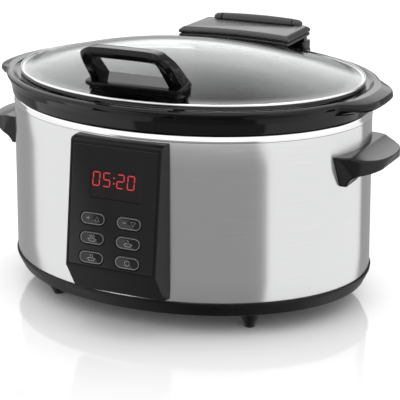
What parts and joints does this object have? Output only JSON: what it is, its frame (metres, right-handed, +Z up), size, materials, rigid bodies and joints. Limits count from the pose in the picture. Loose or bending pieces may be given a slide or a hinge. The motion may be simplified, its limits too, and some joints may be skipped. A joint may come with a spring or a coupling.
{
  "type": "slow cooker",
  "caption": "Oval slow cooker: steel housing with a tilted keypad panel, lift-out glazed crock and a rear-hinged domed glass lid with a loop handle.",
  "frame": {"origin": "on the surface that the feet stand on, at the centre of the oval", "axes": "+Z up, +X along the long axis of the oval, -Y towards the control panel"},
  "size_m": [0.3956, 0.3171, 0.2472],
  "materials": {
    "brushed_steel": "satin, brushed round the body",
    "polished_steel": "polished",
    "well_steel": "rolled sheet",
    "bracket_steel": "zinc plated",
    "fastener_steel": "zinc plated",
    "black_plastic": "satin moulded",
    "handle_plastic": "satin moulded",
    "handle_gloss": "glossy moulded",
    "hinge_plastic": "semi-gloss moulded",
    "panel_gloss": "glossy",
    "key_gloss": "glossy with a thin grey outline",
    "smoked_lens": "smoked, glossy",
    "display_red": "lit red segments",
    "circuit_board": "solder mask",
    "pad_rubber": "matt",
    "heater_mica": "mica sheet",
    "glass_wool": "fibrous blanket",
    "sensor_ceramic": "fired",
    "black_glaze": "glossy glaze",
    "clear_glass": "clear tempered"
  },
  "bodies": {
    "housing": {"base_tray": "black_plastic", "foot_front_left": "black_plastic", "foot_front_right": "black_plastic", "foot_rear_left": "black_plastic", "foot_rear_right": "black_plastic", "foot_pad_front_left": "pad_rubber", "foot_pad_front_right": "pad_rubber", "foot_pad_rear_left": "pad_rubber", "foot_pad_rear_right": "pad_rubber", "foot_screw_front_left": "fastener_steel", "foot_screw_front_right": "fastener_steel", "foot_screw_rear_left": "fastener_steel", "foot_screw_rear_right": "fastener_steel", "outer_shell": "brushed_steel", "shoulder_ring": "polished_steel", "heating_well": "well_steel", "heater_band": "heater_mica", "heat_insulation": "glass_wool", "well_bracket": "bracket_steel", "temperature_sensor": "sensor_ceramic", "thermal_fuse": "sensor_ceramic", "power_board": "circuit_board", "cord_gland": "black_plastic", "side_handle_right": "handle_plastic", "side_handle_left": "handle_plastic", "handle_screw_right_front": "fastener_steel", "handle_screw_right_rear": "fastener_steel", "handle_screw_left_front": "fastener_steel", "handle_screw_left_rear": "fastener_steel", "panel_bezel": "black_plastic", "panel_face": "panel_gloss", "display_window": "smoked_lens", "display_module": "display_red", "control_board": "circuit_board", "hinge_tower": "hinge_plastic", "tower_screw_left": "fastener_steel", "tower_screw_right": "fastener_steel"},
    "timer_up_key": {"key_timer_up": "key_gloss"},
    "timer_down_key": {"key_timer_down": "key_gloss"},
    "high_heat_key": {"key_high_heat": "key_gloss"},
    "low_heat_key": {"key_low_heat": "key_gloss"},
    "keep_warm_key": {"key_keep_warm": "key_gloss"},
    "power_key": {"key_power": "key_gloss"},
    "crock": {"crock": "black_glaze"},
    "hinge_block": {"hinge_block": "hinge_plastic", "hinge_pin": "fastener_steel"},
    "lid": {"lid_glass": "clear_glass", "lid_rim": "polished_steel", "lid_handle": "handle_gloss", "hinge_cover": "hinge_plastic", "hinge_clamp": "black_plastic", "handle_washer_left": "fastener_steel", "handle_washer_right": "fastener_steel", "lid_handle_screw_left": "fastener_steel", "lid_handle_screw_right": "fastener_steel", "hinge_screw_left": "fastener_steel", "hinge_screw_right": "fastener_steel"}
  },
  "joints": [
    {"name": "timer_up_press", "type": "slide", "parent": "housing", "child": "timer_up_key", "axis": [0, 0.9921, -0.1257], "range_m": [0, 0.0005], "stiffness_N_per_m": 1500, "springref_m": -0.0005},
    {"name": "timer_down_press", "type": "slide", "parent": "housing", "child": "timer_down_key", "axis": [0, 0.9921, -0.1257], "range_m": [0, 0.0005], "stiffness_N_per_m": 1500, "springref_m": -0.0005},
    {"name": "high_heat_press", "type": "slide", "parent": "housing", "child": "high_heat_key", "axis": [0, 0.9921, -0.1257], "range_m": [0, 0.0005], "stiffness_N_per_m": 1500, "springref_m": -0.0005},
    {"name": "low_heat_press", "type": "slide", "parent": "housing", "child": "low_heat_key", "axis": [0, 0.9921, -0.1257], "range_m": [0, 0.0005], "stiffness_N_per_m": 1500, "springref_m": -0.0005},
    {"name": "keep_warm_press", "type": "slide", "parent": "housing", "child": "keep_warm_key", "axis": [0, 0.9921, -0.1257], "range_m": [0, 0.0005], "stiffness_N_per_m": 1500, "springref_m": -0.0005},
    {"name": "power_press", "type": "slide", "parent": "housing", "child": "power_key", "axis": [0, 0.9921, -0.1257], "range_m": [0, 0.0005], "stiffness_N_per_m": 1500, "springref_m": -0.0005},
    {"name": "crock_lift", "type": "slide", "parent": "housing", "child": "crock", "axis": [0, 0, 1], "range_m": [0, 0.18]},
    {"name": "lid_lift_off", "type": "slide", "parent": "crock", "child": "hinge_block", "axis": [0, 0, 1], "range_m": [0, 0.065]},
    {"name": "lid_open", "type": "hinge", "parent": "hinge_block", "child": "lid", "pos_m": [0, 0.1512, 0.221], "axis": [-1, 0, 0], "range_deg": [0, 98]}
  ]
}
